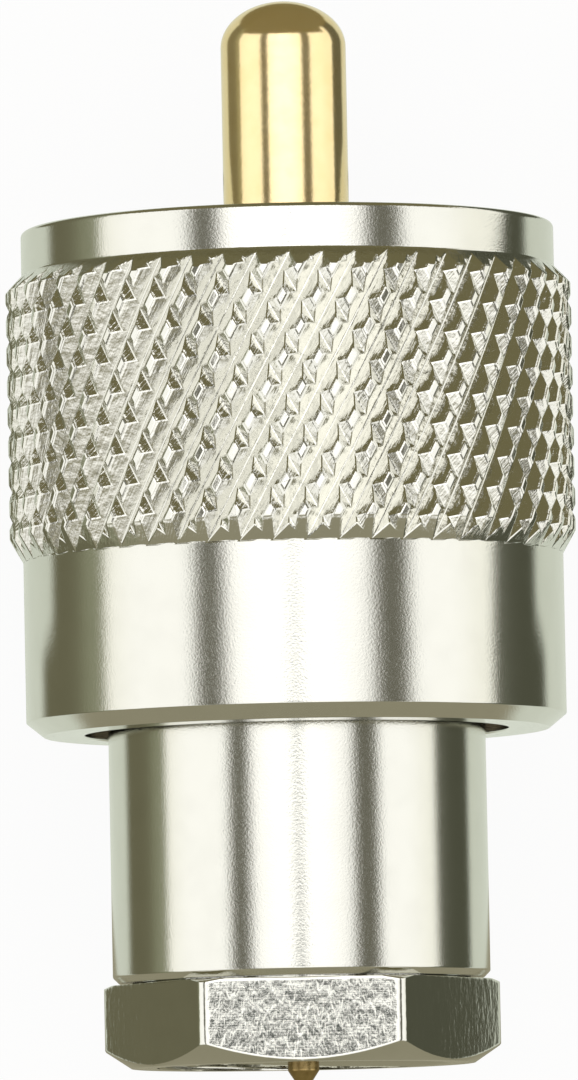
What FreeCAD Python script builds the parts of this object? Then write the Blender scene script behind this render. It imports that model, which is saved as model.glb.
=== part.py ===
import FreeCAD, Part
import math
import os
import Sketcher

# A coaxial adapter: a UHF plug with a knurled coupling ring at one end, and at the other
# an F plug with a captive hexagon nut. It lies on its side, with its axis along +Y and
# the thick pin towards +Y, and rests on the knurled ring.
# Every piece is drawn upright from its own rear face and then laid down at its station,
# which is the distance of that face from the tip of the thin pin.

doc = FreeCAD.newDocument("uhf_connector")
sizes = doc.addObject("Spreadsheet::Sheet", "sizes")

driving_sizes = {
    # play between pieces that move on each other, and the open seam under the rear shell
    "radial_play": 0.05,
    "axial_play": 0.05,
    "nut_seam": 0.05,
    # coupling ring, outside, from the rear face to the front rim
    "ring_length": 16.1,
    "rear_chamfer_width": 0.55,
    "rear_chamfer_height": 0.45,
    "skirt_wall": 0.6,
    "skirt_length": 5.55,
    "rear_bevel": 0.75,
    "knurl_rise": 0.425,
    "knurl_length": 7.4,
    "front_bevel": 1.0,
    "lip_wall": 1.1,
    "rim_chamfer": 0.15,
    # coupling ring, inside
    "ring_hole_clearance": 0.75,
    "rear_wall": 0.9,
    "land_length": 0.6,
    "relief_length": 1.0,
    "relief_depth": 0.6,
    "thread_bore": 14.8,
    "thread_entry": 0.6,
    # diamond knurl: V grooves in each family, their lean from the axis, their depth, and
    # the flat left on top of each point
    "knurl_grooves": 52,
    "knurl_lean": 29.5,
    "knurl_depth": 0.3,
    "point_flat": 0.19,
    # split clip that holds the ring on the neck, and how far the ring slides forward
    "clip_thickness": 0.8,
    "clip_shoulder": 0.4,
    "clip_gap": 2.5,
    "ring_travel": 2.5,
    # front shell
    "spigot_wall": 1.45,
    "neck_step": 0.3,
    "thread_clearance": 0.3,
    "barrel_length": 7.2,
    "barrel_wall": 1.2,
    "chamber_depth": 6.3,
    "seat_step": 0.55,
    "post_seat": 3.5,
    "notch_width": 2.0,
    "notch_depth": 1.0,
    # rear shell
    "rear_shell_wall": 0.6,
    "rear_shell_length": 8.8,
    "rear_shell_chamfer": 0.2,
    "shank_clearance": 0.2,
    # thick pin
    "pin_diameter": 4.0,
    "pin_reach": 11.9,
    "dome_height": 1.47,
    "collar_diameter": 5.2,
    "collar_length": 0.8,
    "bead_groove_diameter": 3.6,
    "stem_diameter": 2.4,
    "stem_bore_depth": 2.4,
    # insulators
    "front_insulator_length": 3.8,
    "rear_insulator_recess": 0.5,
    # thin pin
    "thin_pin_diameter": 1.0,
    "thin_root_diameter": 1.4,
    "thin_pin_proud": 0.5,
    "thin_tip_diameter": 0.54,
    "thin_tip_length": 0.35,
    # post that the hexagon nut turns on
    "post_wall": 0.95,
    "post_flange_width": 0.75,
    "post_flange_clearance": 0.5,
    "post_flange_thickness": 0.85,
    # hexagon nut
    "hex_step": 0.3,
    "hex_height": 2.65,
    "crown_height": 0.6,
    "crown_width": 0.9,
    "shoulder_height": 0.12,
    "shoulder_width": 0.3,
    "nut_length": 7.5,
    "shank_wall": 0.4,
    "nut_thread_bore": 8.8,
    "nut_thread_entry": 0.25,
    "nut_thread_length": 4.9,
    "nut_relief_depth": 0.4,
    "nut_lip": 1.0,
}

for row, (alias, value) in enumerate(driving_sizes.items(), start=1):
    sizes.set(f"A{row}", alias)
    sizes.set(f"B{row}", str(value))
    sizes.setAlias(f"B{row}", alias)
doc.recompute()


def size(name):
    return f"sizes.{name}"


def half(diameter):
    return f"({diameter}) / 2"


def total(*terms):
    return " + ".join(f"({term})" for term in terms)


def less(first, *terms):
    return f"({first})" + "".join(f" - ({term})" for term in terms)


def wider(diameter, wall):
    return total(diameter, f"2 * sizes.{wall}")


def narrower(diameter, wall):
    return less(diameter, f"2 * sizes.{wall}")


# Diameters from the nut's thread outwards to the ring's hole, and inwards to the post's bore
nut_relief = wider(size("nut_thread_bore"), "nut_relief_depth")
shank_diameter = wider(nut_relief, "shank_wall")
hex_flats = wider(shank_diameter, "hex_step")
nut_pocket = wider(shank_diameter, "shank_clearance")
rear_shell_diameter = wider(nut_pocket, "rear_shell_wall")
neck_diameter = narrower(rear_shell_diameter, "neck_step")
ring_hole = wider(rear_shell_diameter, "ring_hole_clearance")
post_flange_diameter = narrower(nut_relief, "post_flange_clearance")
post_diameter = narrower(post_flange_diameter, "post_flange_width")
post_bore = narrower(post_diameter, "post_wall")
middle_hole = narrower(post_diameter, "seat_step")
spigot_diameter = wider(post_diameter, "spigot_wall")

# Diameters from the coupling ring's thread outwards to its knurl, and inwards to the chamber
clip_diameter = wider(size("thread_bore"), "clip_shoulder")
thread_relief = wider(size("thread_bore"), "relief_depth")
skirt_diameter = wider(thread_relief, "skirt_wall")
knurl_diameter = wider(skirt_diameter, "knurl_rise")
lip_diameter = wider(size("thread_bore"), "lip_wall")
barrel_diameter = narrower(size("thread_bore"), "thread_clearance")
chamber_diameter = narrower(barrel_diameter, "barrel_wall")

# Stations along the axis, measured from the tip of the thin pin
nut_station = size("thin_pin_proud")
hex_top = total(nut_station, size("hex_height"))
nut_end = total(nut_station, size("nut_length"))
lip_front = less(nut_end, size("nut_lip"))
post_station = less(lip_front, size("axial_play"), size("post_flange_thickness"))
front_shell_station = total(nut_end, size("axial_play"), size("axial_play"))
post_end = total(front_shell_station, size("post_seat"))
rear_shell_station = total(hex_top, size("nut_seam"))
rear_shell_end = total(rear_shell_station, size("rear_shell_length"))
clip_station = total(rear_shell_end, size("axial_play"))
ring_station = less(rear_shell_end, size("rear_wall"))
neck_length = total(size("ring_travel"), size("clip_thickness"), "2 * sizes.axial_play")
barrel_station = total(rear_shell_end, neck_length)
contact_plane = total(barrel_station, size("barrel_length"))
chamber_floor = less(contact_plane, size("chamber_depth"))
thick_pin_tip = total(contact_plane, size("pin_reach"))
rear_insulator_station = total(post_station, size("rear_insulator_recess"))


def number(expression):
    return float(sizes.evalExpression(expression.replace("sizes.", "")))


def origin_feature(body, role):
    return next(item for item in body.Origin.OriginFeatures if item.Role == role)


def new_body(name):
    body = doc.addObject("PartDesign::Body", name)
    body.Label = name
    return body


def new_sketch(body, name, plane):
    sketch = body.newObject("Sketcher::SketchObject", name)
    sketch.AttachmentSupport = [(origin_feature(body, plane), "")]
    sketch.MapMode = "FlatFace"
    return sketch


def tie(sketch, kind, line, expression):
    """Tie the start of a line to its distance from the sketch's origin."""
    value = number(expression)
    if abs(value) < 1e-9:
        axis = -2 if kind == "DistanceX" else -1
        sketch.addConstraint(Sketcher.Constraint("PointOnObject", line, 1, axis))
        return
    index = sketch.addConstraint(Sketcher.Constraint(kind, line, 1, value))
    sketch.setExpression(f"Constraints[{index}]", expression)


def draw_outline(sketch, corners):
    """Draw a closed outline through corners given as pairs of expressions."""
    points = [FreeCAD.Vector(number(across), number(up)) for across, up in corners]
    count = len(points)
    sketch.addGeometry([Part.LineSegment(points[at], points[(at + 1) % count]) for at in range(count)])
    for line, (across, up) in enumerate(corners):
        sketch.addConstraint(Sketcher.Constraint("Coincident", line, 2, (line + 1) % count, 1))
        tie(sketch, "DistanceX", line, across)
        tie(sketch, "DistanceY", line, up)


def turned(name, corners):
    """A turned piece: an outline of radius and height pairs revolved about its axis."""
    body = new_body(name)
    sketch = new_sketch(body, f"{name}_section", "XZ_Plane")
    draw_outline(sketch, corners)
    turning = body.newObject("PartDesign::Revolution", f"{name}_turning")
    turning.Profile = sketch
    turning.ReferenceAxis = (sketch, ["V_Axis"])
    turning.Angle = 360
    doc.recompute()
    return body


def milled(body, name, plane, corners, depth, both_ways=False):
    """A pocket with the given outline, cut upwards or to both sides of its plane."""
    sketch = new_sketch(body, f"{name}_outline", plane)
    draw_outline(sketch, corners)
    pocket = body.newObject("PartDesign::Pocket", name)
    pocket.Profile = sketch
    if both_ways:
        pocket.SideType = "Symmetric"
    else:
        pocket.Reversed = True
    pocket.setExpression("Length", depth)
    doc.recompute()
    return pocket


def repeated(body, feature, count, angle):
    """A feature repeated about the piece's own axis."""
    pattern = body.newObject("PartDesign::PolarPattern", f"{feature.Name}_pattern")
    pattern.Originals = [feature]
    pattern.Axis = (origin_feature(body, "Z_Axis"), [""])
    pattern.Angle = angle
    pattern.Occurrences = count
    body.Tip = pattern
    doc.recompute()


def lay_down(piece, station):
    """Lay an upright piece along +Y, its rear face at its station, on the knurled ring."""
    piece.Placement = FreeCAD.Placement(
        FreeCAD.Vector(), FreeCAD.Rotation(FreeCAD.Vector(1, 0, 0), -90)
    )
    piece.setExpression("Placement.Base.y", less(station, f"({thick_pin_tip}) / 2"))
    piece.setExpression("Placement.Base.z", half(knurl_diameter))
    return piece


knurl_start = total(size("skirt_length"), size("rear_bevel"))
knurl_end = total(knurl_start, size("knurl_length"))
lip_start = total(knurl_end, size("front_bevel"))


def make_ring_blank():
    """The turned coupling ring. Its drum stands proud, for the knurl to cut it to size."""
    skirt = half(skirt_diameter)
    lip = half(lip_diameter)
    drum = total(half(knurl_diameter), size("knurl_depth"))
    rear_slope = f"sizes.rear_bevel / ({less(half(knurl_diameter), skirt)})"
    front_slope = f"sizes.front_bevel / ({less(half(knurl_diameter), lip)})"
    groove = total(half(clip_diameter), size("radial_play"))
    bore = half(size("thread_bore"))
    relief = half(thread_relief)
    groove_end = total(size("rear_wall"), size("clip_thickness"), "2 * sizes.axial_play")
    land_end = total(groove_end, size("land_length"))
    relief_end = total(land_end, size("relief_length"))
    return turned("ring_blank", [
        (half(ring_hole), "0"),
        (less(skirt, size("rear_chamfer_width")), "0"),
        (skirt, size("rear_chamfer_height")),
        (skirt, size("skirt_length")),
        (drum, total(knurl_start, f"sizes.knurl_depth * {rear_slope}")),
        (drum, less(knurl_end, f"sizes.knurl_depth * {front_slope}")),
        (lip, lip_start),
        (lip, less(size("ring_length"), size("rim_chamfer"))),
        (less(lip, size("rim_chamfer")), size("ring_length")),
        (total(bore, size("thread_entry")), size("ring_length")),
        (bore, less(size("ring_length"), size("thread_entry"))),
        (bore, relief_end),
        (relief, relief_end),
        (relief, land_end),
        (bore, land_end),
        (bore, groove_end),
        (groove, groove_end),
        (groove, size("rear_wall")),
        (half(ring_hole), size("rear_wall")),
    ])


def flat_face(*corners):
    return Part.Face(Part.makePolygon([*corners, corners[0]]))


def make_knurl_core():
    """A core covered with the points that two families of helical V grooves leave.

    The groove crossings are a lattice of half pitches round the core and rows along it.
    Each point is a four-sided pyramid on four crossings, cut flat at the full diameter.
    """
    radius = number(half(knurl_diameter))
    root = radius - sizes.knurl_depth
    steps = 2 * int(sizes.knurl_grooves)
    pitch = 2 * math.pi * radius / sizes.knurl_grooves
    lean = math.radians(sizes.knurl_lean)
    row_pitch = pitch / (2 * math.tan(lean))
    middle = number(total(knurl_start, "sizes.knurl_length / 2"))
    flat_share = sizes.point_flat / (pitch * math.cos(lean))
    apex = root + sizes.knurl_depth / (1 - flat_share)
    reach = number(less(lip_start, size("skirt_length"))) / 2
    rows = math.ceil(reach / row_pitch)

    def outwards(step):
        angle = 2 * math.pi * step / steps
        return FreeCAD.Vector(math.cos(angle), math.sin(angle), 0)

    def crossing(step, row, height=None):
        level = middle + row * row_pitch if height is None else height
        return outwards(step) * root + FreeCAD.Vector(0, 0, level)

    faces = []
    for row in range(-rows, rows + 1):
        for step in range(1 - row % 2, steps, 2):
            normal = outwards(step)
            foot = [crossing(step, row - 1), crossing(step + 1, row),
                    crossing(step, row + 1), crossing(step - 1, row)]
            tip = normal * apex + FreeCAD.Vector(0, 0, middle + row * row_pitch)
            top = [corner + (tip - corner) * ((radius - corner * normal) / (apex - corner * normal))
                   for corner in foot]
            for side in range(4):
                faces.append(flat_face(foot[side - 1], foot[side], top[side], top[side - 1]))
            faces.append(flat_face(*top))
    # The core runs on as a plain prism past both ends of the ring
    ring_length = float(sizes.ring_length)
    for row, way, end in ((-rows, -1, -row_pitch), (rows, 1, ring_length + row_pitch)):
        for step in range(steps):
            levels = [row if (at + row) % 2 == 0 else row + way for at in (step, step + 1)]
            faces.append(flat_face(
                crossing(step, levels[0]), crossing(step + 1, levels[1]),
                crossing(step + 1, 0, end), crossing(step, 0, end),
            ))
        faces.append(flat_face(*[crossing(step, 0, end) for step in range(steps)]))
    shell = Part.Shell(faces)
    shell.sewShape()
    core = doc.addObject("Part::Feature", "knurl_core")
    core.Shape = Part.Solid(shell)
    return core


def make_coupling_ring():
    blank = make_ring_blank()
    core = make_knurl_core()
    ring = doc.addObject("Part::MultiCommon", "coupling_ring")
    ring.Shapes = [blank, core]
    return lay_down(ring, ring_station)


def make_ring_clip():
    """A flat split ring: it turns in the coupling ring's groove and slides on the neck."""
    inner = total(half(neck_diameter), size("radial_play"))
    body = turned("ring_clip", [
        (inner, "0"),
        (half(clip_diameter), "0"),
        (half(clip_diameter), size("clip_thickness")),
        (inner, size("clip_thickness")),
    ])
    side = half(size("clip_gap"))
    milled(body, "clip_split", "XY_Plane", [
        (f"-({side})", half(middle_hole)),
        (side, half(middle_hole)),
        (side, clip_diameter),
        (f"-({side})", clip_diameter),
    ], size("clip_thickness"))
    return lay_down(body, clip_station)


def make_front_shell():
    """The outer contact: spigot, neck for the clip, and barrel with a notched front rim."""
    spigot_end = less(rear_shell_end, front_shell_station)
    barrel_start = less(barrel_station, front_shell_station)
    rim = less(contact_plane, front_shell_station)
    floor = less(chamber_floor, front_shell_station)
    body = turned("front_shell", [
        (half(post_diameter), "0"),
        (half(spigot_diameter), "0"),
        (half(spigot_diameter), spigot_end),
        (half(neck_diameter), spigot_end),
        (half(neck_diameter), barrel_start),
        (half(barrel_diameter), barrel_start),
        (half(barrel_diameter), rim),
        (half(chamber_diameter), rim),
        (half(chamber_diameter), floor),
        (half(middle_hole), floor),
        (half(middle_hole), size("post_seat")),
        (half(post_diameter), size("post_seat")),
    ])
    side = half(size("notch_width"))
    notch = milled(body, "rim_notch", "XZ_Plane", [
        (f"-({side})", less(rim, size("notch_depth"))),
        (side, less(rim, size("notch_depth"))),
        (side, total(rim, size("notch_depth"))),
        (f"-({side})", total(rim, size("notch_depth"))),
    ], f"2 * ({barrel_diameter})", both_ways=True)
    repeated(body, notch, 2, 90)
    return lay_down(body, front_shell_station)


def make_rear_shell():
    """The smooth sleeve over the nut's shank, pressed on the front shell's spigot."""
    edge = size("rear_shell_chamfer")
    outer = half(rear_shell_diameter)
    pocket_depth = less(front_shell_station, rear_shell_station)
    body = turned("rear_shell", [
        (half(nut_pocket), "0"),
        (less(outer, edge), "0"),
        (outer, edge),
        (outer, less(size("rear_shell_length"), edge)),
        (less(outer, edge), size("rear_shell_length")),
        (half(spigot_diameter), size("rear_shell_length")),
        (half(spigot_diameter), pocket_depth),
        (half(nut_pocket), pocket_depth),
    ])
    return lay_down(body, rear_shell_station)


def make_uhf_pin():
    """The thick pin: drilled stem, collar, groove that the insulator fills, and dome."""
    length = less(thick_pin_tip, post_end)
    collar_start = less(chamber_floor, post_end)
    collar_end = total(collar_start, size("collar_length"))
    groove_end = total(collar_start, size("front_insulator_length"))
    dome_start = less(length, size("dome_height"))
    shank = turned("pin_shank", [
        (half(size("thin_root_diameter")), "0"),
        (half(size("stem_diameter")), "0"),
        (half(size("stem_diameter")), collar_start),
        (half(size("collar_diameter")), collar_start),
        (half(size("collar_diameter")), collar_end),
        (half(size("bead_groove_diameter")), collar_end),
        (half(size("bead_groove_diameter")), groove_end),
        (half(size("pin_diameter")), groove_end),
        (half(size("pin_diameter")), dome_start),
        ("0", dome_start),
        ("0", size("stem_bore_depth")),
        (half(size("thin_root_diameter")), size("stem_bore_depth")),
    ])
    dome = doc.addObject("Part::Ellipsoid", "pin_dome")
    dome.setExpression("Radius1", size("dome_height"))
    dome.setExpression("Radius2", half(size("pin_diameter")))
    dome.setExpression("Radius3", half(size("pin_diameter")))
    dome.Angle1 = 0
    dome.setExpression("Placement.Base.z", dome_start)
    pin = doc.addObject("Part::MultiFuse", "uhf_pin")
    pin.Shapes = [shank, dome]
    return lay_down(pin, post_end)


def make_front_insulator():
    """The disc that centres the thick pin: it fills the pin's groove and holds its collar."""
    body = turned("front_insulator", [
        (half(size("collar_diameter")), "0"),
        (half(chamber_diameter), "0"),
        (half(chamber_diameter), size("front_insulator_length")),
        (half(size("bead_groove_diameter")), size("front_insulator_length")),
        (half(size("bead_groove_diameter")), size("collar_length")),
        (half(size("collar_diameter")), size("collar_length")),
    ])
    return lay_down(body, chamber_floor)


def make_rear_insulator():
    """The stepped bush round the thin pin in the post and round the stem beyond it."""
    step = less(post_end, rear_insulator_station)
    length = less(chamber_floor, rear_insulator_station)
    body = turned("rear_insulator", [
        (half(size("thin_root_diameter")), "0"),
        (half(post_bore), "0"),
        (half(post_bore), step),
        (half(middle_hole), step),
        (half(middle_hole), length),
        (half(size("stem_diameter")), length),
        (half(size("stem_diameter")), step),
        (half(size("thin_root_diameter")), step),
    ])
    return lay_down(body, rear_insulator_station)


def make_thin_pin():
    """The F plug's centre pin: coned tip, and a thicker root pressed in the thick pin."""
    length = total(post_end, size("stem_bore_depth"))
    body = turned("f_pin", [
        ("0", "0"),
        (half(size("thin_tip_diameter")), "0"),
        (half(size("thin_pin_diameter")), size("thin_tip_length")),
        (half(size("thin_pin_diameter")), rear_insulator_station),
        (half(size("thin_root_diameter")), rear_insulator_station),
        (half(size("thin_root_diameter")), length),
        ("0", length),
    ])
    return lay_down(body, "0")


def make_post():
    """The flanged tube that carries the nut and makes the F plug's outer contact."""
    body = turned("f_post", [
        (half(post_bore), "0"),
        (half(post_flange_diameter), "0"),
        (half(post_flange_diameter), size("post_flange_thickness")),
        (half(post_diameter), size("post_flange_thickness")),
        (half(post_diameter), less(post_end, post_station)),
        (half(post_bore), less(post_end, post_station)),
    ])
    return lay_down(body, post_station)


def make_hex_nut():
    """The captive nut: crowned hexagon, round shank, and a lip that rides on the post."""
    corner = f"({hex_flats}) / sqrt(3)"
    bore = half(size("nut_thread_bore"))
    relief = half(nut_relief)
    lip = total(half(post_diameter), size("radial_play"))
    lip_start = less(size("nut_length"), size("nut_lip"))
    body = turned("hex_nut", [
        (total(bore, size("nut_thread_entry")), "0"),
        (less(corner, size("crown_width")), "0"),
        (corner, size("crown_height")),
        (corner, less(size("hex_height"), size("shoulder_height"))),
        (less(corner, size("shoulder_width")), size("hex_height")),
        (half(shank_diameter), size("hex_height")),
        (half(shank_diameter), size("nut_length")),
        (lip, size("nut_length")),
        (lip, lip_start),
        (relief, lip_start),
        (relief, size("nut_thread_length")),
        (bore, size("nut_thread_length")),
        (bore, size("nut_thread_entry")),
    ])
    flat = milled(body, "nut_flat", "XY_Plane", [
        (f"-({hex_flats})", half(hex_flats)),
        (hex_flats, half(hex_flats)),
        (hex_flats, hex_flats),
        (f"-({hex_flats})", hex_flats),
    ], size("hex_height"))
    repeated(body, flat, 6, 360)
    return lay_down(body, nut_station)


pieces = [
    make_coupling_ring(),
    make_ring_clip(),
    make_front_shell(),
    make_rear_shell(),
    make_uhf_pin(),
    make_front_insulator(),
    make_rear_insulator(),
    make_thin_pin(),
    make_post(),
    make_hex_nut(),
]
doc.recompute()

for item in doc.Objects:
    if "Invalid" in item.State or "Error" in item.State:
        raise RuntimeError(f"{item.Label} failed: {item.State}")

os.makedirs("parts", exist_ok=True)
for piece in pieces:
    shape = piece.Shape
    if shape.isNull() or not shape.isValid() or len(shape.Solids) != 1:
        raise RuntimeError(f"{piece.Label} is not one valid solid")
    shape.exportStep(f"parts/{piece.Label}.step")
    print(f"{piece.Label}: {shape.Volume:.2f} mm3, {shape.BoundBox}")
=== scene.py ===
import math
import bmesh
import bpy
from mathutils import Matrix, Vector


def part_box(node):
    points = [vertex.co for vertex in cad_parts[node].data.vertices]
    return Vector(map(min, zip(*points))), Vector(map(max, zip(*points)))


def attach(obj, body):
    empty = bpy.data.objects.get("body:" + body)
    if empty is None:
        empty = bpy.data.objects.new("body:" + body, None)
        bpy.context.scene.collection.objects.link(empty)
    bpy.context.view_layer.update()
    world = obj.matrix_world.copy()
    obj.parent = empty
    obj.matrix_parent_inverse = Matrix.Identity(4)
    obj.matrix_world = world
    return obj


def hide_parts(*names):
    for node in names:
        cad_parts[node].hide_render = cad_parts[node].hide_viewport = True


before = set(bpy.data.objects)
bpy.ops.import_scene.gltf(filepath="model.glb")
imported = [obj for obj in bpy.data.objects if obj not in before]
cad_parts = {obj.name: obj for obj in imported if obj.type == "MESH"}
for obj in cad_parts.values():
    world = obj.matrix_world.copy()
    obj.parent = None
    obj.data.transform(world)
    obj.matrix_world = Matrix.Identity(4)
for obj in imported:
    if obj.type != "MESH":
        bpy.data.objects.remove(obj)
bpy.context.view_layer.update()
mm = 0.001
turn = 2 * math.pi

# The pieces share one axis along +Y. Angles run round it from straight up (+Z) towards +X.
ringLow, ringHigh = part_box("coupling_ring")
axisHeight = (ringLow.z + ringHigh.z) / 2 / mm
print("frame loaded, axis height", round(axisHeight, 3), "mm")


def rearOf(node):
    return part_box(node)[0].y / mm


# Meshes

def placed(angle, radius, along):
    return Vector((radius * math.sin(angle), along, axisHeight + radius * math.cos(angle))) * mm


def evenAngles(count):
    return [turn * at / count for at in range(count)]


outlineLook = {
    "support": 0.04,
    "longestReach": 0.4,
    "degreesPerStep": 18,
}


def roundedOutline(corners, closed=True):
    # corners are (radius, along, rounding); straight runs get a point near each end,
    # so that smooth shading stays flat between the rounded corners
    support = outlineLook["support"]
    count = len(corners)
    points = []
    for at, (radius, along, rounding) in enumerate(corners):
        here = Vector((radius, along))
        if not closed and at in (0, count - 1):
            points.append(here)
            continue
        before = Vector(corners[at - 1][:2])
        after = Vector(corners[(at + 1) % count][:2])
        inward, outward = here - before, after - here
        bend = inward.angle_signed(outward)
        reach = rounding * math.tan(abs(bend) / 2)
        limit = outlineLook["longestReach"] * min(inward.length, outward.length)
        if reach > limit:
            rounding *= limit / reach
            reach = limit
        inward.normalize()
        outward.normalize()
        start = here - inward * reach
        points.append(start - inward * min(support, limit / 2))
        steps = max(2, math.ceil(math.degrees(abs(bend)) / outlineLook["degreesPerStep"]))
        side = 1 if bend > 0 else -1
        centre = start + Vector((inward.y, -inward.x)) * rounding * side
        spoke = start - centre
        for step in range(steps + 1):
            swing = Matrix.Rotation(-bend * step / steps, 2)
            points.append(centre + swing @ spoke)
        points.append(here + outward * (reach + min(support, limit / 2)))
    return [(point.x, point.y) for point in points]


def wrapGrid(mesh, angles, outlineAt, closed=True):
    # one outline of (radius, along) pairs at each angle, skinned all the way round
    columns = []
    poles = {}
    for angle in angles:
        column = []
        for at, (radius, along) in enumerate(outlineAt(angle)):
            if radius < 1e-6:
                if at not in poles:
                    poles[at] = mesh.verts.new(placed(0, 0, along))
                column.append(poles[at])
            else:
                column.append(mesh.verts.new(placed(angle, radius, along)))
        columns.append(column)
    size = len(columns[0])
    for at, column in enumerate(columns):
        beside = columns[(at + 1) % len(columns)]
        for low in range(size if closed else size - 1):
            high = (low + 1) % size
            corners = [column[low], beside[low], beside[high], column[high]]
            unique = list(dict.fromkeys(corners))
            if len(unique) > 2:
                mesh.faces.new(unique)
    return [column[0] for column in columns], [column[-1] for column in columns]


def newPiece(name, mesh, body, slot, material, *stoodFor):
    data = bpy.data.meshes.new(name)
    mesh.to_mesh(data)
    mesh.free()
    piece = bpy.data.objects.new(name, data)
    bpy.context.scene.collection.objects.link(piece)
    data.materials.append(material)
    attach(piece, body)
    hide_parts(*stoodFor)
    data.calc_loop_triangles()
    print("made", name, "with", len(data.loop_triangles), "triangles")


def smoothFaces(mesh, sharpAngle=50):
    for face in mesh.faces:
        face.smooth = True
    for edge in mesh.edges:
        if len(edge.link_faces) == 2 and edge.calc_face_angle() > math.radians(sharpAngle):
            edge.smooth = False


def turnedPiece(name, corners, body, slot, material, segments=256, closed=True):
    # stands for the node of that name; corners are measured from the node's rear end
    start = rearOf(name)
    mesh = bmesh.new()
    outline = [(radius, start + along) for radius, along in roundedOutline(corners, closed)]
    wrapGrid(mesh, evenAngles(segments), lambda angle: outline, closed)
    smoothFaces(mesh)
    newPiece(name + "_turned", mesh, body, slot, material, name)


# Shader expressions

class Wire:
    # one socket of a shader tree; arithmetic on it adds Math nodes
    def __init__(self, tree, socket=None):
        self.tree = tree
        self.socket = socket

    def node(self, kind, settings=None, inputs=None, output=0):
        made = self.tree.nodes.new("ShaderNode" + kind)
        for name, value in (settings or {}).items():
            setattr(made, name, value)
        for name, value in (inputs or {}).items():
            if isinstance(value, Wire):
                self.tree.links.new(value.socket, made.inputs[name])
            else:
                made.inputs[name].default_value = value
        return Wire(self.tree, made.outputs[output] if made.outputs else None)

    def other(self, output):
        return Wire(self.tree, self.socket.node.outputs[output])

    def math(self, operation, *terms):
        return self.node("Math", {"operation": operation}, dict(enumerate(terms)))

    def __add__(self, other):
        return self.math("ADD", self, other)

    def __sub__(self, other):
        return self.math("SUBTRACT", self, other)

    def __rsub__(self, other):
        return self.math("SUBTRACT", other, self)

    def __mul__(self, other):
        return self.math("MULTIPLY", self, other)

    def __truediv__(self, other):
        return self.math("DIVIDE", self, other)

    def __rtruediv__(self, other):
        return self.math("DIVIDE", other, self)

    __radd__ = __add__
    __rmul__ = __mul__

    def rise(self, start, end):
        # 0 before start and 1 after end, with a smooth slope between them
        settings = {"interpolation_type": "SMOOTHSTEP"}
        return self.node("MapRange", settings, {"Value": self, "From Min": start, "From Max": end})

    def scaled(self, factor):
        return self.node("VectorMath", {"operation": "SCALE"}, {0: self, "Scale": factor})

    def stretched(self, x, y, z):
        return self.node("VectorMath", {"operation": "MULTIPLY"}, {0: self, 1: (x, y, z)})

    def noise(self, scale, detail=2, roughness=0.5):
        return self.node("TexNoise", None, {
            "Vector": self, "Scale": scale, "Detail": detail, "Roughness": roughness,
        })

    def colour(self, first, second):
        # the first colour at 0 and the second at 1; a Mix node takes colours at its
        # sockets 6 and 7, and gives one at its output 2
        inputs = {0: self}
        for at, value in ((6, first), (7, second)):
            inputs[at] = value if isinstance(value, Wire) else (*value, 1)
        return self.node("Mix", {"data_type": "RGBA"}, inputs, 2)


def newMaterial(name, constants):
    material = bpy.data.materials.new(name)
    material.use_nodes = True
    surface = material.node_tree.nodes["Principled BSDF"]
    for socket, value in constants.items():
        surface.inputs[socket].default_value = value
    return material, Wire(material.node_tree)


def feed(material, socket, wire):
    surface = material.node_tree.nodes["Principled BSDF"]
    material.node_tree.links.new(wire.socket, surface.inputs[socket])


def bumped(height):
    # height is in mm
    return height.node("Bump", None, {"Height": height, "Distance": mm, "Strength": 1})


def spreadRoughness(noise, look):
    return noise * look["roughnessSpread"] + (look["roughness"] - look["roughnessSpread"] / 2)


def roundAxis(place):
    # the angle round the axis and the distance along it, for a place in mm
    parts = place.node("SeparateXYZ", None, {"Vector": place})
    angle = parts.math("ARCTAN2", parts, parts.other("Z") - axisHeight)
    return angle, parts.other("Y")


plating = {
    "colour": (0.725, 0.72, 0.665),
    "shade": (0.705, 0.70, 0.645),
    "roughness": 0.12,
    "roughnessSpread": 0.12,
    "cloudsPerMm": 0.9,
    "cloudEdges": (0.35, 0.7),
    "grainSize": 0.07,
    "grainHeight": 0.0034,
    "linesAround": 2,
    "linesAlong": 18,
    "lineHeight": 0.0005,
}


def makeNickel(name, changes, addedHeight=None):
    # bright nickel plating: fine grain that breaks up reflections, and faint turning lines
    look = {**plating, **changes}
    material, wire = newMaterial(name, {"Metallic": 1.0})
    place = wire.node("TexCoord", output="Object").scaled(1 / mm)
    grain = place.noise(1 / look["grainSize"], detail=3, roughness=0.6)
    cloud = place.noise(look["cloudsPerMm"], detail=3).rise(*look["cloudEdges"])
    angle, along = roundAxis(place)
    turned = {"X": angle * look["linesAround"], "Y": along * look["linesAlong"]}
    lines = wire.node("CombineXYZ", None, turned).noise(1)
    feed(material, "Base Color", cloud.colour(look["colour"], look["shade"]))
    feed(material, "Roughness", spreadRoughness(grain, look))
    height = grain * look["grainHeight"] + lines * look["lineHeight"]
    if addedHeight:
        height = height + addedHeight(place, look)
    feed(material, "Normal", bumped(height))
    return material


goldLook = {
    "colour": (0.95, 0.76, 0.43),
    "shade": (0.93, 0.73, 0.39),
    "metallic": 0.92,
    "roughness": 0.14,
    "roughnessSpread": 0.1,
    "cloudsPerMm": 1.3,
    "cloudEdges": (0.35, 0.7),
    "grainsPerMm": 9,
    "grainHeight": 0.002,
}


def makeGold(look):
    material, wire = newMaterial("gold_plate", {"Metallic": look["metallic"]})
    place = wire.node("TexCoord", output="Object").scaled(1 / mm)
    grain = place.noise(look["grainsPerMm"], detail=3, roughness=0.6)
    cloud = place.noise(look["cloudsPerMm"], detail=3).rise(*look["cloudEdges"])
    feed(material, "Base Color", cloud.colour(look["colour"], look["shade"]))
    feed(material, "Roughness", spreadRoughness(grain, look))
    feed(material, "Normal", bumped(grain * look["grainHeight"]))
    return material


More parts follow.
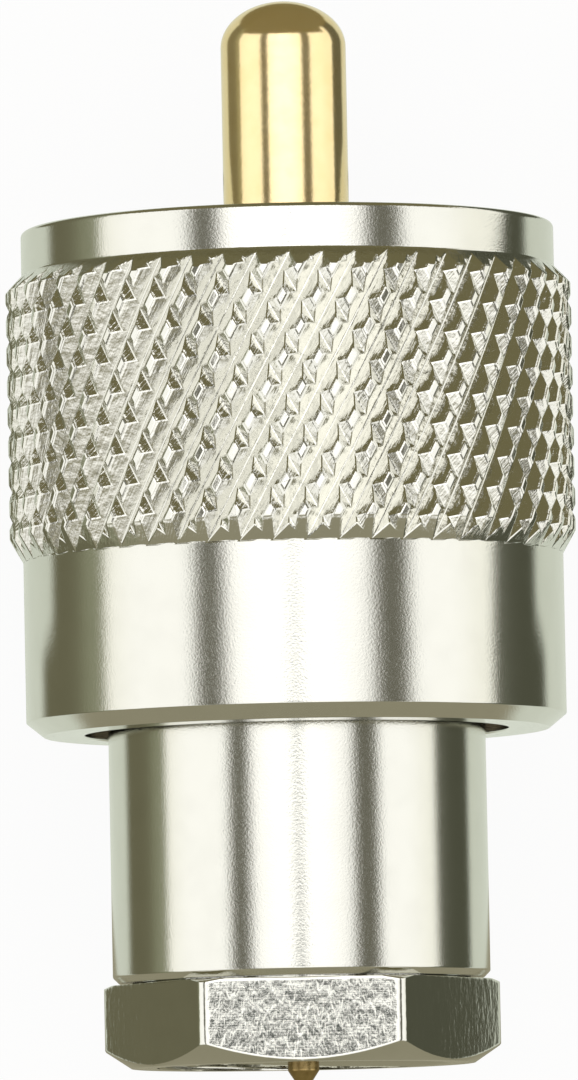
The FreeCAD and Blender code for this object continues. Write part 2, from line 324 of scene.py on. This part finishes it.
copperAlloy = {
    "roughnessSpread": 0.2,
    "cloudsPerMm": 2.5,
    "cloudEdges": (0.3, 0.7),
    "grainsPerMm": 8,
    "grainHeight": 0.003,
}
brassLook = {"colour": (0.46, 0.34, 0.15), "shade": (0.33, 0.23, 0.09), "roughness": 0.3}
bronzeLook = {"colour": (0.62, 0.50, 0.33), "shade": (0.5, 0.38, 0.22), "roughness": 0.35}


def makeCopperAlloy(name, changes):
    # bare brass or bronze: cloudy colour and a satin grain
    look = {**copperAlloy, **changes}
    material, wire = newMaterial(name, {"Metallic": 1.0})
    place = wire.node("TexCoord", output="Object").scaled(1 / mm)
    cloud = place.noise(look["cloudsPerMm"], detail=4)
    grain = place.noise(look["grainsPerMm"], detail=3)
    feed(material, "Base Color", cloud.rise(*look["cloudEdges"]).colour(look["colour"], look["shade"]))
    feed(material, "Roughness", spreadRoughness(cloud, look))
    feed(material, "Normal", bumped(grain * look["grainHeight"]))
    return material


insulatorLook = {
    "colour": (0.90, 0.90, 0.87),
    "shade": (0.84, 0.84, 0.80),
    "roughness": 0.45,
    "roughnessSpread": 0.2,
    "subsurface": 0.15,
    "subsurfaceDepth": 1.0,
    "cloudsPerMm": 1.5,
    "grainsPerMm": 5,
    "grainHeight": 0.004,
}


def makeInsulator(look):
    depth = look["subsurfaceDepth"] * mm
    constants = {"Subsurface Weight": look["subsurface"], "Subsurface Radius": (depth, depth, depth)}
    material, wire = newMaterial("white_insulator", constants)
    place = wire.node("TexCoord", output="Object").scaled(1 / mm)
    cloud = place.noise(look["cloudsPerMm"], detail=3)
    grain = place.noise(look["grainsPerMm"], detail=4)
    feed(material, "Base Color", cloud.colour(look["colour"], look["shade"]))
    feed(material, "Roughness", spreadRoughness(cloud, look))
    feed(material, "Normal", bumped(grain * look["grainHeight"]))
    return material


shellNickel = makeNickel("shell_nickel", {"roughness": 0.115})
goldPlate = makeGold(goldLook)
bareBrass = makeCopperAlloy("bare_brass", brassLook)
bronze = makeCopperAlloy("clip_bronze", bronzeLook)
whiteInsulator = makeInsulator(insulatorLook)
print("materials made")


# Threads

threadForm = {"crest": 1 / 4, "root": 1 / 8}


def threadRadius(angle, along, thread):
    # 60 degree inner thread, right-handed, with its flats as shares of the pitch
    phase = (along / thread["pitch"] - angle / turn) % 1
    fromRoot = abs(phase - 0.5)
    flankStart = threadForm["root"] / 2
    flankEnd = 0.5 - threadForm["crest"] / 2
    deep = min(max((flankEnd - fromRoot) / (flankEnd - flankStart), 0), 1)
    return thread["minor"] + (thread["major"] - thread["minor"]) * deep


# Coupling ring

ringSizes = {
    "length": 16.1,
    "rearChamferWidth": 0.55,
    "rearChamferHeight": 0.45,
    "skirt": 8.6,
    "skirtLength": 5.55,
    "rearBevel": 0.75,
    "knurl": 9.025,
    "knurlLength": 7.85,
    "frontBevel": 0.55,
    "lip": 8.5,
    "rimRounding": 0.15,
    "hole": 6.75,
    "rearWall": 0.9,
    "clipGroove": 7.85,
    "clipGrooveEnd": 1.8,
    "landEnd": 2.4,
    "relief": 8.0,
    "reliefEnd": 3.4,
    "reliefStep": 0.3,
    "threadEntry": 0.6,
    "threadRearGap": 0.05,
    "threadFrontGap": 0.02,
    "thread": {"pitch": 25.4 / 24, "minor": 7.4, "major": 7.94},
    "edge": 0.05,
    "segments": 208,
    "rowsPerTurn": 14,
}
knurl = {
    "grooves": 52,
    "lean": 29.5,
    "phase": -1.24,
    "deepGroove": 0.40,
    "deepFlat": 0.20,
    "shallowGroove": 0.25,
    "shallowFlat": 0.35,
    "edgeRounding": 0.028,
    "sharpAngle": 14,
    "mergeDistance": 0.012,
    "shortestEdge": 0.002,
    "margin": 0.04,
}
ringFinish = {
    # depths are below the knurl's top, and the knurl starts and ends along the ring, in mm
    "uncutDepth": 0.02,
    "cutDepth": 0.09,
    "knurlStart": 5.5,
    "knurlEnd": 14.4,
    "endWidth": 0.3,
    "streaksAcross": 14,
    "streaksAlong": 0.9,
    "streakHeight": 0.012,
    "dentsPerMm": 3.4,
    "dentHeight": 0.02,
}


def cutMarks(place, look):
    # the cutter's streaks along the leaning grooves, and uneven metal in them
    angle, along = roundAxis(place)
    lean = math.radians(knurl["lean"])
    across = angle * (ringSizes["knurl"] * math.cos(lean)) - along * math.sin(lean)
    combed = {"X": across * look["streaksAcross"], "Y": along * look["streaksAlong"]}
    streaks = place.node("CombineXYZ", None, combed).noise(1)
    dents = place.noise(look["dentsPerMm"])
    parts = place.node("SeparateXYZ", None, {"Vector": place})
    height = parts.other("Z") - axisHeight
    depth = ringSizes["knurl"] - parts.math("SQRT", parts * parts + height * height)
    cut = depth.rise(look["uncutDepth"], look["cutDepth"])
    start = rearOf("coupling_ring") + look["knurlStart"]
    end = rearOf("coupling_ring") + look["knurlEnd"]
    inKnurl = along.rise(start, start + look["endWidth"]) - along.rise(end, end + look["endWidth"])
    return cut * inKnurl * (streaks * look["streakHeight"] + dents * look["dentHeight"])


ringNickel = makeNickel("ring_nickel", ringFinish, cutMarks)


def clipped(polygon, keep):
    # the part of a flat polygon where the linear function keep isn't above zero
    result = []
    for at, here in enumerate(polygon):
        before = polygon[at - 1]
        hereValue, beforeValue = keep(here), keep(before)
        if (hereValue > 0) != (beforeValue > 0):
            share = beforeValue / (beforeValue - hereValue)
            result.append(tuple(a + (b - a) * share for a, b in zip(before, here)))
        if hereValue <= 0:
            result.append(here)
    return result


def knurlPatches(ring, look):
    # The unrolled knurl is the lowest of flat surfaces: the sides of two families of
    # V grooves, the turned top and the two bevels. Each gives up to one patch in each cell.
    pitch = turn * ring["knurl"] / look["grooves"]
    lean = math.radians(look["lean"])
    spacing = pitch * math.cos(lean)
    rowPitch = pitch / (2 * math.tan(lean))
    start = ring["skirtLength"]
    end = start + ring["rearBevel"] + ring["knurlLength"] + ring["frontBevel"]
    middle = start + ring["rearBevel"] + ring["knurlLength"] / 2
    top = ring["knurl"]
    deepFloor = top - look["deepGroove"]
    shallowFloor = top - look["shallowGroove"]
    deepSlope = look["deepGroove"] / ((spacing - look["deepFlat"]) / 2)
    shallowSlope = look["shallowGroove"] / ((spacing - look["shallowFlat"]) / 2)
    rearSlope = (top - ring["skirt"]) / ring["rearBevel"]
    frontSlope = (top - ring["lip"]) / ring["frontBevel"]
    rows = math.ceil(max(end - middle, middle - start) / rowPitch)

    def across(point, side):
        return point[0] * math.cos(lean) + side * (point[1] - middle) * math.sin(lean)

    def surfaces(first, second):
        return [
            lambda p: deepFloor + (across(p, -1) - first * spacing) * deepSlope,
            lambda p: deepFloor + ((first + 1) * spacing - across(p, -1)) * deepSlope,
            lambda p: shallowFloor + (across(p, 1) - second * spacing) * shallowSlope,
            lambda p: shallowFloor + ((second + 1) * spacing - across(p, 1)) * shallowSlope,
            lambda p: top,
            lambda p: ring["skirt"] + (p[1] - start) * rearSlope,
            lambda p: ring["lip"] + (end - p[1]) * frontSlope,
        ]

    patches = []
    for row in range(-rows, rows + 1):
        for step in range(row % 2, 2 * look["grooves"], 2):
            centre = ((step + 1) * pitch / 2, middle + row * rowPitch)
            cell = [
                (centre[0], centre[1] - rowPitch),
                (centre[0] + pitch / 2, centre[1]),
                (centre[0], centre[1] + rowPitch),
                (centre[0] - pitch / 2, centre[1]),
            ]
            cell = clipped(cell, lambda p: start + look["margin"] - p[1])
            cell = clipped(cell, lambda p: p[1] - end + look["margin"])
            if len(cell) < 3:
                continue
            levels = surfaces((step - row) // 2, (step + row) // 2)
            for level in levels:
                patch = cell
                for other in levels:
                    if other is not level and len(patch) > 2:
                        patch = clipped(patch, lambda p: level(p) - other(p))
                if len(patch) > 2:
                    patches.append([(*p, min(lower(p) for lower in levels)) for p in patch])
    return patches


def knurlMesh(ring, look, start):
    mesh = bmesh.new()
    phase = math.radians(look["phase"])
    for patch in knurlPatches(ring, look):
        corners = []
        for x, y, radius in patch:
            corners.append(mesh.verts.new(placed(x / ring["knurl"] + phase, radius, start + y)))
        mesh.faces.new(corners)
    bmesh.ops.remove_doubles(mesh, verts=mesh.verts, dist=look["mergeDistance"] * mm)
    bmesh.ops.dissolve_degenerate(mesh, edges=mesh.edges, dist=look["shortestEdge"] * mm)
    sharp = math.radians(look["sharpAngle"])
    edges = [
        edge for edge in mesh.edges
        if len(edge.link_faces) == 2 and edge.calc_face_angle() > sharp
    ]
    bmesh.ops.bevel(
        mesh, geom=edges, offset=look["edgeRounding"] * mm, offset_type="OFFSET",
        segments=1, affect="EDGES", profile=0.5, clamp_overlap=True,
    )
    # faces added to a bevelled mesh are stored in an order that varies; a copy's aren't
    fixed = mesh.copy()
    mesh.free()
    return fixed


def angleOf(vertex):
    return math.atan2(vertex.co.x, vertex.co.z - axisHeight * mm) % turn


def zipLoops(mesh, lower, upper):
    # a strip of triangles between two loops round the axis, lower and upper along +Y
    lower = sorted(lower, key=angleOf)
    upper = sorted(upper, key=angleOf)
    low, high = 0, 0
    while low < len(lower) or high < len(upper):
        lowNow, highNow = lower[low % len(lower)], upper[high % len(upper)]
        lowNext, highNext = lower[(low + 1) % len(lower)], upper[(high + 1) % len(upper)]
        lowAngle = angleOf(lowNext) if low + 1 < len(lower) else turn + angleOf(lowNext)
        highAngle = angleOf(highNext) if high + 1 < len(upper) else turn + angleOf(highNext)
        if high >= len(upper) or (low < len(lower) and lowAngle <= highAngle):
            mesh.faces.new([lowNow, lowNext, highNow])
            low += 1
        else:
            mesh.faces.new([lowNow, highNext, highNow])
            high += 1


def makeCouplingRing(ring):
    start = rearOf("coupling_ring")
    knurlEnd = ring["skirtLength"] + ring["rearBevel"] + ring["knurlLength"] + ring["frontBevel"]
    mesh = knurlMesh(ring, knurl, start)
    ends = [edge for edge in mesh.edges if len(edge.link_faces) == 1]
    endVerts = {vertex for edge in ends for vertex in edge.verts}
    middle = (start + knurlEnd / 2 + ring["skirtLength"] / 2) * mm
    rearLoop = [vertex for vertex in endVerts if vertex.co.y < middle]
    frontLoop = [vertex for vertex in endVerts if vertex.co.y > middle]
    knurlFaces = set(mesh.faces)
    thread = ring["thread"]
    small = ring["edge"]
    front = [(ring["lip"], knurlEnd)] + roundedOutline([
        (ring["lip"], knurlEnd + small, 0),
        (ring["lip"], ring["length"], ring["rimRounding"]),
        (thread["minor"] + ring["threadEntry"], ring["length"], small),
        (thread["minor"], ring["length"] - ring["threadEntry"], 0),
    ], closed=False)[:-1]
    rear = roundedOutline([
        (thread["minor"] + ring["reliefStep"], ring["reliefEnd"], 0),
        (ring["relief"], ring["reliefEnd"], small),
        (ring["relief"], ring["landEnd"], small),
        (thread["minor"], ring["landEnd"], small),
        (thread["minor"], ring["clipGrooveEnd"], small),
        (ring["clipGroove"], ring["clipGrooveEnd"], small),
        (ring["clipGroove"], ring["rearWall"], small),
        (ring["hole"], ring["rearWall"], small),
        (ring["hole"], 0, small),
        (ring["skirt"] - ring["rearChamferWidth"], 0, small),
        (ring["skirt"], ring["rearChamferHeight"], small),
        (ring["skirt"], ring["skirtLength"] - small, 0),
    ], closed=False)[1:] + [(ring["skirt"], ring["skirtLength"])]
    pitch = thread["pitch"]
    threadStart = ring["reliefEnd"] + ring["threadRearGap"]
    threadEnd = front[-1][1] - ring["threadFrontGap"]
    rows = math.ceil((threadEnd - threadStart) / pitch * ring["rowsPerTurn"])
    levels = [threadEnd - (threadEnd - threadStart) * at / rows for at in range(rows + 1)]

    def outlineAt(angle):
        bore = []
        for level in levels:
            entry = thread["minor"] + ring["threadEntry"] - (ring["length"] - level)
            bore.append((max(threadRadius(angle, level, thread), entry), level))
        return [(radius, start + along) for radius, along in front + bore + rear]

    lipLoop, skirtLoop = wrapGrid(mesh, evenAngles(ring["segments"]), outlineAt, closed=False)
    zipLoops(mesh, skirtLoop, rearLoop)
    zipLoops(mesh, frontLoop, lipLoop)
    bmesh.ops.recalc_face_normals(mesh, faces=mesh.faces)
    for face in mesh.faces:
        face.smooth = face not in knurlFaces
    newPiece("coupling_ring_turned", mesh, "ring", "ring_nickel", ringNickel, "coupling_ring")


makeCouplingRing(ringSizes)


# Sleeve between the ring and the nut

shellSizes = {
    "radius": 6.0,
    "length": 8.8,
    "chamfer": 0.2,
    "pocket": 5.4,
    "pocketDepth": 4.95,
    "spigot": 5.0,
    "outerEdge": 0.1,
    "endEdge": 0.06,
    "innerEdge": 0.04,
}


def makeRearShell(shell):
    chamfer = shell["chamfer"]
    turnedPiece("rear_shell", [
        (shell["pocket"], 0, shell["innerEdge"]),
        (shell["radius"] - chamfer, 0, shell["endEdge"]),
        (shell["radius"], chamfer, shell["outerEdge"]),
        (shell["radius"], shell["length"] - chamfer, shell["outerEdge"]),
        (shell["radius"] - chamfer, shell["length"], shell["endEdge"]),
        (shell["spigot"], shell["length"], shell["innerEdge"]),
        (shell["spigot"], shell["pocketDepth"], shell["innerEdge"]),
        (shell["pocket"], shell["pocketDepth"], shell["innerEdge"]),
    ], "adapter_body", "shell_nickel", shellNickel)


makeRearShell(shellSizes)


# Thick pin

pinSizes = {
    "length": 22.9,
    "radius": 2.0,
    "domeHeight": 1.47,
    "root": 0.7,
    "stem": 1.2,
    "collar": 2.6,
    "collarStart": 4.7,
    "collarLength": 0.8,
    "neck": 1.8,
    "neckEnd": 8.5,
    "boreDepth": 2.4,
    "edge": 0.05,
    "fineEdge": 0.03,
    "domeSteps": 40,
    "segments": 160,
}


def makeThickPin(pin):
    domeStart = pin["length"] - pin["domeHeight"]
    collarEnd = pin["collarStart"] + pin["collarLength"]
    edge, fineEdge = pin["edge"], pin["fineEdge"]
    shank = roundedOutline([
        (0, pin["boreDepth"], 0),
        (pin["root"], pin["boreDepth"], fineEdge),
        (pin["root"], 0, fineEdge),
        (pin["stem"], 0, edge),
        (pin["stem"], pin["collarStart"], edge),
        (pin["collar"], pin["collarStart"], edge),
        (pin["collar"], collarEnd, edge),
        (pin["neck"], collarEnd, edge),
        (pin["neck"], pin["neckEnd"], fineEdge),
        (pin["radius"], pin["neckEnd"], fineEdge),
        (pin["radius"], domeStart, 0),
    ], closed=False)
    dome = []
    for step in range(1, pin["domeSteps"]):
        swing = math.pi / 2 * step / pin["domeSteps"]
        dome.append((pin["radius"] * math.cos(swing), domeStart + pin["domeHeight"] * math.sin(swing)))
    dome.append((0, pin["length"]))
    start = rearOf("uhf_pin")
    outline = [(radius, start + along) for radius, along in shank + dome]
    mesh = bmesh.new()
    wrapGrid(mesh, evenAngles(pin["segments"]), lambda angle: outline, closed=False)
    smoothFaces(mesh)
    newPiece("uhf_pin_turned", mesh, "adapter_body", "pin_gold", goldPlate, "uhf_pin")


makeThickPin(pinSizes)


# Thin pin

thinPinSizes = {
    "length": 14.0,
    "tip": 0.27,
    "cone": 0.35,
    "radius": 0.5,
    "shank": 6.6,
    "stem": 0.7,
    "edge": 0.04,
    "innerEdge": 0.03,
    "segments": 96,
}


def makeThinPin(pin):
    turnedPiece("f_pin", [
        (0, 0, 0),
        (pin["tip"], 0, pin["edge"]),
        (pin["radius"], pin["cone"], pin["edge"]),
        (pin["radius"], pin["shank"], pin["innerEdge"]),
        (pin["stem"], pin["shank"], pin["innerEdge"]),
        (pin["stem"], pin["length"], pin["innerEdge"]),
        (0, pin["length"], 0),
    ], "adapter_body", "pin_brass", bareBrass, pin["segments"], closed=False)


makeThinPin(thinPinSizes)


# Hexagon nut

nutSizes = {
    "apothem": 5.5,
    "cornerRounding": 0.4,
    "hexHeight": 2.65,
    "crownWidth": 0.9,
    "crownHeight": 0.6,
    "shoulderWidth": 0.3,
    "shoulderHeight": 0.12,
    "length": 7.5,
    "shank": 5.2,
    "relief": 4.8,
    "lip": 3.6,
    "lipLength": 1.0,
    "threadLength": 4.9,
    "threadEntry": 0.25,
    "thread": {"pitch": 25.4 / 32, "minor": 4.4, "major": 4.76},
    "threadLift": 0.005,  # keeps the thread's first row off the mouth's face
    "edgeBlend": 0.035,
    "innerEdge": 0.04,
    "endEdge": 0.08,
    "rowsPerTurn": 14,
    "segments": 300,
    "cornerStep": 0.25,
    "cornerReach": 7,
}
nutFinish = {"roughness": 0.09, "grainHeight": 0.0010, "pitHeight": 0.0075, "pitsPerMm": (4.6, 1.9, 4.6)}


def facePits(place, look):
    # the nut's faces are dimpled, and the dimples are drawn out along the axis
    return place.stretched(*look["pitsPerMm"]).noise(1, roughness=0.55) * look["pitHeight"]


nutNickel = makeNickel("nut_nickel", nutFinish, facePits)


def hexRadius(angle, nut):
    # distance to a hexagon with two flats up and down and rounded corners at both sides
    halfSide = turn / 12
    fromCorner = (angle - halfSide) % (2 * halfSide)
    fromCorner = min(fromCorner, 2 * halfSide - fromCorner)
    rounding = nut["cornerRounding"]
    centre = (nut["apothem"] - rounding) / math.cos(halfSide)
    meeting = math.atan2(rounding * math.sin(halfSide), centre + rounding * math.cos(halfSide))
    if fromCorner < meeting:
        offset = centre * math.sin(fromCorner)
        return centre * math.cos(fromCorner) + math.sqrt(rounding ** 2 - offset ** 2)
    return nut["apothem"] / math.cos(halfSide - fromCorner)


def nutAngles(nut):
    # even steps, with more of them at the six rounded corners
    angles = evenAngles(nut["segments"])
    for corner in range(6):
        middle = turn * (2 * corner + 1) / 12
        for step in range(-nut["cornerReach"], nut["cornerReach"] + 1):
            angles.append(middle + math.radians(step * nut["cornerStep"]))
    return sorted({round(angle % turn, 6) for angle in angles})


def makeHexNut(nut):
    start = rearOf("hex_nut")
    thread = nut["thread"]
    corner = nut["apothem"] / math.cos(math.pi / 6)
    face = corner - nut["crownWidth"]
    crownSlope = nut["crownHeight"] / nut["crownWidth"]
    shoulderSlope = nut["shoulderHeight"] / nut["shoulderWidth"]
    shoulderRoot = corner - nut["shoulderWidth"]
    blend, edge = nut["edgeBlend"], nut["innerEdge"]
    mouth = thread["minor"] + nut["threadEntry"]
    lipStart = nut["length"] - nut["lipLength"]
    rows = math.ceil(nut["threadLength"] / thread["pitch"] * nut["rowsPerTurn"])
    inner = roundedOutline([
        (thread["minor"], nut["threadLength"], 0),
        (nut["relief"], nut["threadLength"], edge),
        (nut["relief"], lipStart, edge),
        (nut["lip"], lipStart, edge),
        (nut["lip"], nut["length"], edge),
        (nut["shank"], nut["length"], nut["endEdge"]),
        (nut["shank"], nut["hexHeight"], 0),
    ], closed=False)[1:]

    def outlineAt(angle):
        flat = hexRadius(angle, nut)
        shoulderEdge = nut["hexHeight"] - max(flat - shoulderRoot, 0) * shoulderSlope
        crownEdge = (flat - face) * crownSlope
        # each edge is blended by points close to it, and support points keep the faces flat
        points = [
            (nut["shank"] + blend, nut["hexHeight"]),
            (min(flat, shoulderRoot) - blend, nut["hexHeight"]),
            (flat - blend * 0.4, shoulderEdge),
            (flat, shoulderEdge - blend),
            (flat, shoulderEdge - 3 * blend),
            (flat, nut["hexHeight"] / 2),
            (flat, crownEdge + 3 * blend),
            (flat, crownEdge + blend),
            (flat - min(blend, flat - face), crownEdge - min(blend * crownSlope, crownEdge)),
            (face + blend * 0.4, blend * 0.2),
            (face - blend, 0),
            (face - 3 * blend, 0),
            (mouth + 3 * blend, 0),
            (mouth + blend, 0),
        ]
        for at in range(rows + 1):
            level = nut["threadLength"] * at / rows
            radius = max(threadRadius(angle, level, thread), mouth - level)
            points.append((radius, level + nut["threadLift"]))
        return [(radius, start + along) for radius, along in points + inner]

    mesh = bmesh.new()
    wrapGrid(mesh, nutAngles(nut), outlineAt)
    bmesh.ops.recalc_face_normals(mesh, faces=mesh.faces)
    smoothFaces(mesh, sharpAngle=60)
    newPiece("hex_nut_turned", mesh, "nut", "nut_nickel", nutNickel, "hex_nut")


makeHexNut(nutSizes)


# Pieces inside, which show from the ends

for node, material in (
    ("front_shell", shellNickel), ("ring_clip", bronze), ("front_insulator", whiteInsulator),
    ("rear_insulator", whiteInsulator), ("f_post", shellNickel),
):
    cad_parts[node].data.materials.clear()
    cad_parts[node].data.materials.append(material)
print("inner pieces have their materials")


# Studio

studio = {
    # world: colours, and their edges as roll round the axis and lift along it, in degrees
    "overhead": (1.60, 1.59, 1.57),
    "overheadFar": (2.0, 1.98, 1.96),
    "farStart": 4.6,
    "farFull": 6.2,
    "fallOff": 0.00026,
    "sides": (1.34, 1.335, 1.31),
    "sidesLow": (1.22, 1.21, 1.12),
    "sidesStart": 38,
    "sidesFull": 46,
    "lowStart": 68,
    "lowFull": 90,
    "gap": (0.16, 0.155, 0.12),
    "gaps": ((-36.2, 6.4), (42, 8.0)),
    "gapSoft": 3.0,
    "frontEnd": (0.19, 0.17, 0.085),
    "frontStart": 28,
    "frontFull": 33,
    "backEnd": (0.34, 0.32, 0.225),
    "backStart": 22,
    "backFull": 46,
    "lens": (0.08, 0.09, 0.085),
    "lensLift": -1.3,
    "lensHalf": 3.75,
    "lensSoft": 0.4,
    "horizonDark": 88.5,
    "horizonSoft": 1.5,
    # painted reflection of the floor as the metal shows it, in mm from the middle: pale beside the
    # object, where it stands for the floor in the object's shade, dark beyond
    "floorSize": 3000,
    "floorColour": (0.92, 0.92, 0.91),
    "floorWhite": 0.93,
    "pale": (0.73, 0.77, 0.67),
    "paleLeft": {"nut": 19.5, "ring": 26, "pin": 15.2},
    "paleRight": {"nut": 21, "ring": 26, "pin": 11.7},
    "paleSoft": 1.5,
    "ringRear": -2,
    "ringFront": 13.5,
    "zoneSoft": 1,
    "darkLeft": (0.17, 0.163, 0.10),
    "darkLeftFar": (0.29, 0.30, 0.20),
    "darkRight": (0.093, 0.096, 0.066),
    "darkRightFar": (0.142, 0.146, 0.11),
    "darkFarStart": 30,
    "darkFarFull": 110,
    "creamRight": {"nut": 230, "ring": 450, "pin": 49},
    "creamSoft": 0.12,
    "frontSlant": 0.85,
    "backSlant": 0.95,
    "endSoft": 0.07,
    "forwardSoft": 2,
    "ringMiddle": 4,
    "pinMiddle": 16,
}


def makeWorld(look):
    world = bpy.data.worlds.new("studio")
    bpy.context.scene.world = world
    world.use_nodes = True
    world.node_tree.nodes.clear()
    wire = Wire(world.node_tree)
    direction = wire.node("TexCoord", output="Generated")
    parts = wire.node("SeparateXYZ", None, {"Vector": direction})
    roll = parts.math("ARCTAN2", parts, parts.other("Z")) * math.degrees(1)
    side = parts.math("ABSOLUTE", roll)
    lift = parts.math("ARCSINE", parts.other("Y")) * math.degrees(1)

    overhead = lift.rise(look["farStart"], look["farFull"]).colour(look["overhead"], look["overheadFar"])
    overhead = overhead.scaled(1 - roll * roll * look["fallOff"])
    sides = side.rise(look["lowStart"], look["lowFull"]).colour(look["sides"], look["sidesLow"])
    colour = side.rise(look["sidesStart"], look["sidesFull"]).colour(overhead, sides)
    for middle, half in look["gaps"]:
        apart = parts.math("ABSOLUTE", roll - middle)
        inGap = 1 - apart.rise(half - look["gapSoft"], half + look["gapSoft"])
        colour = inGap.colour(colour, look["gap"])
    fromLens = lift - look["lensLift"]
    apart = parts.math("SQRT", roll * roll + fromLens * fromLens)
    inLens = 1 - apart.rise(look["lensHalf"] - look["lensSoft"], look["lensHalf"] + look["lensSoft"])
    colour = inLens.colour(colour, look["lens"])
    colour = lift.rise(look["frontStart"], look["frontFull"]).colour(colour, look["frontEnd"])
    colour = (lift * -1).rise(look["backStart"], look["backFull"]).colour(colour, look["backEnd"])
    horizon, soft = look["horizonDark"], look["horizonSoft"]
    low = (roll * -1).rise(horizon - soft, horizon + soft)
    colour = low.colour(colour, look["darkLeftFar"])
    seen = wire.node("LightPath", output="Is Camera Ray")
    colour = seen.colour(colour, (1, 1, 1))
    background = wire.node("Background", None, {"Color": colour})
    wire.node("OutputWorld", None, {"Surface": background})


def paintedFloorReflection(wire, look):
    # painted reflection: what the metal mirrors from the floor, drawn as pale and dark fields that only
    # glossy rays see; the pale field beside the object stands for the floor in the object's shade
    place = wire.node("TexCoord", output="Object").scaled(1 / mm)
    across = place.node("SeparateXYZ", None, {"Vector": place})
    along = across.other("Y")
    zoneSoft = look["zoneSoft"]
    pinZone = along.rise(look["ringFront"] - zoneSoft, look["ringFront"] + zoneSoft)
    ringZone = along.rise(look["ringRear"] - zoneSoft, look["ringRear"] + zoneSoft) - pinZone

    def edgeOf(edges):
        nut, ring, pin = edges["nut"], edges["ring"], edges["pin"]
        return ringZone * (ring - nut) + pinZone * (pin - nut) + nut

    soft = look["paleSoft"]
    farther = across.math("ABSOLUTE", across).rise(look["darkFarStart"], look["darkFarFull"])
    left = farther.colour(look["darkLeft"], look["darkLeftFar"])
    right = farther.colour(look["darkRight"], look["darkRightFar"])
    cream = edgeOf(look["creamRight"])
    toCream = across.rise(cream * (1 - look["creamSoft"]), cream * (1 + look["creamSoft"]))
    right = toCream.colour(right, look["sidesLow"])
    colour = (across - edgeOf(look["paleRight"])).rise(-soft, soft).colour(look["pale"], right)
    colour = (across * -1 - edgeOf(look["paleLeft"])).rise(-soft, soft).colour(colour, left)
    middle = ringZone * look["ringMiddle"] + pinZone * look["pinMiddle"]
    fromMiddle = across.math("ABSOLUTE", along - middle)
    slant = fromMiddle / across.math("SQRT", across * across + axisHeight ** 2)
    forward = along.rise(-look["forwardSoft"], look["forwardSoft"])
    slant = slant - forward * (look["frontSlant"] - look["backSlant"]) - look["backSlant"]
    ends = forward.colour(look["backEnd"], look["frontEnd"])
    return slant.rise(-look["endSoft"], look["endSoft"]).colour(colour, ends)


def makeFloor(look):
    material = bpy.data.materials.new("floor")
    material.use_nodes = True
    tree = material.node_tree
    tree.nodes.clear()
    wire = Wire(tree)
    path = wire.node("LightPath")
    diffuse = wire.node("BsdfDiffuse", None, {"Color": (*look["floorColour"], 1)})
    white = wire.node("Emission", None, {"Color": (1, 1, 1, 1)})
    # glossy rays see this painted reflection instead of the lit floor
    paintedReflection = wire.node("Emission", None, {"Color": paintedFloorReflection(wire, look)})
    seen = wire.node("MixShader", None, {0: path * look["floorWhite"], 1: diffuse, 2: white})
    both = wire.node("MixShader", None, {0: path.other("Is Glossy Ray"), 1: seen, 2: paintedReflection})
    wire.node("OutputMaterial", None, {"Surface": both})
    reach = look["floorSize"] / 2
    data = bpy.data.meshes.new("floor")
    corners = [(-reach, -reach), (reach, -reach), (reach, reach), (-reach, reach)]
    data.from_pydata([Vector((x, y, 0)) * mm for x, y in corners], [], [(0, 1, 2, 3)])
    floor = bpy.data.objects.new("floor", data)
    bpy.context.scene.collection.objects.link(floor)
    data.materials.append(material)


makeWorld(studio)
makeFloor(studio)
print("studio made")


# Camera: the photograph looks down on the axis, from a little way towards the nut

view = {
    "imageHeight": 1080,
    "distance": 366,
    "pixelsPerMm": 31.385,
    "tilt": 4.2,
    "roll": -1.15,
    "aimX": -0.127,
    "aimY": 0.0,
    "sensor": 36,
    "clipStart": 0.05,
    "clipEnd": 5,
}


def makeCamera(look):
    data = bpy.data.cameras.new("camera")
    camera = bpy.data.objects.new("camera", data)
    bpy.context.scene.collection.objects.link(camera)
    data.sensor_width = look["sensor"]
    data.lens = look["pixelsPerMm"] * look["distance"] * look["sensor"] / look["imageHeight"]
    data.clip_start = look["clipStart"]
    data.clip_end = look["clipEnd"]
    tilt = math.radians(look["tilt"])
    aim = Vector((look["aimX"], look["aimY"], axisHeight)) * mm
    away = Vector((0, -math.sin(tilt), math.cos(tilt)))
    turned = Matrix.Rotation(tilt, 4, "X") @ Matrix.Rotation(math.radians(look["roll"]), 4, "Z")
    camera.matrix_world = Matrix.Translation(aim + away * look["distance"] * mm) @ turned
    bpy.context.scene.camera = camera


makeCamera(view)
bpy.context.scene.view_settings.view_transform = "Standard"

print("scene ready")
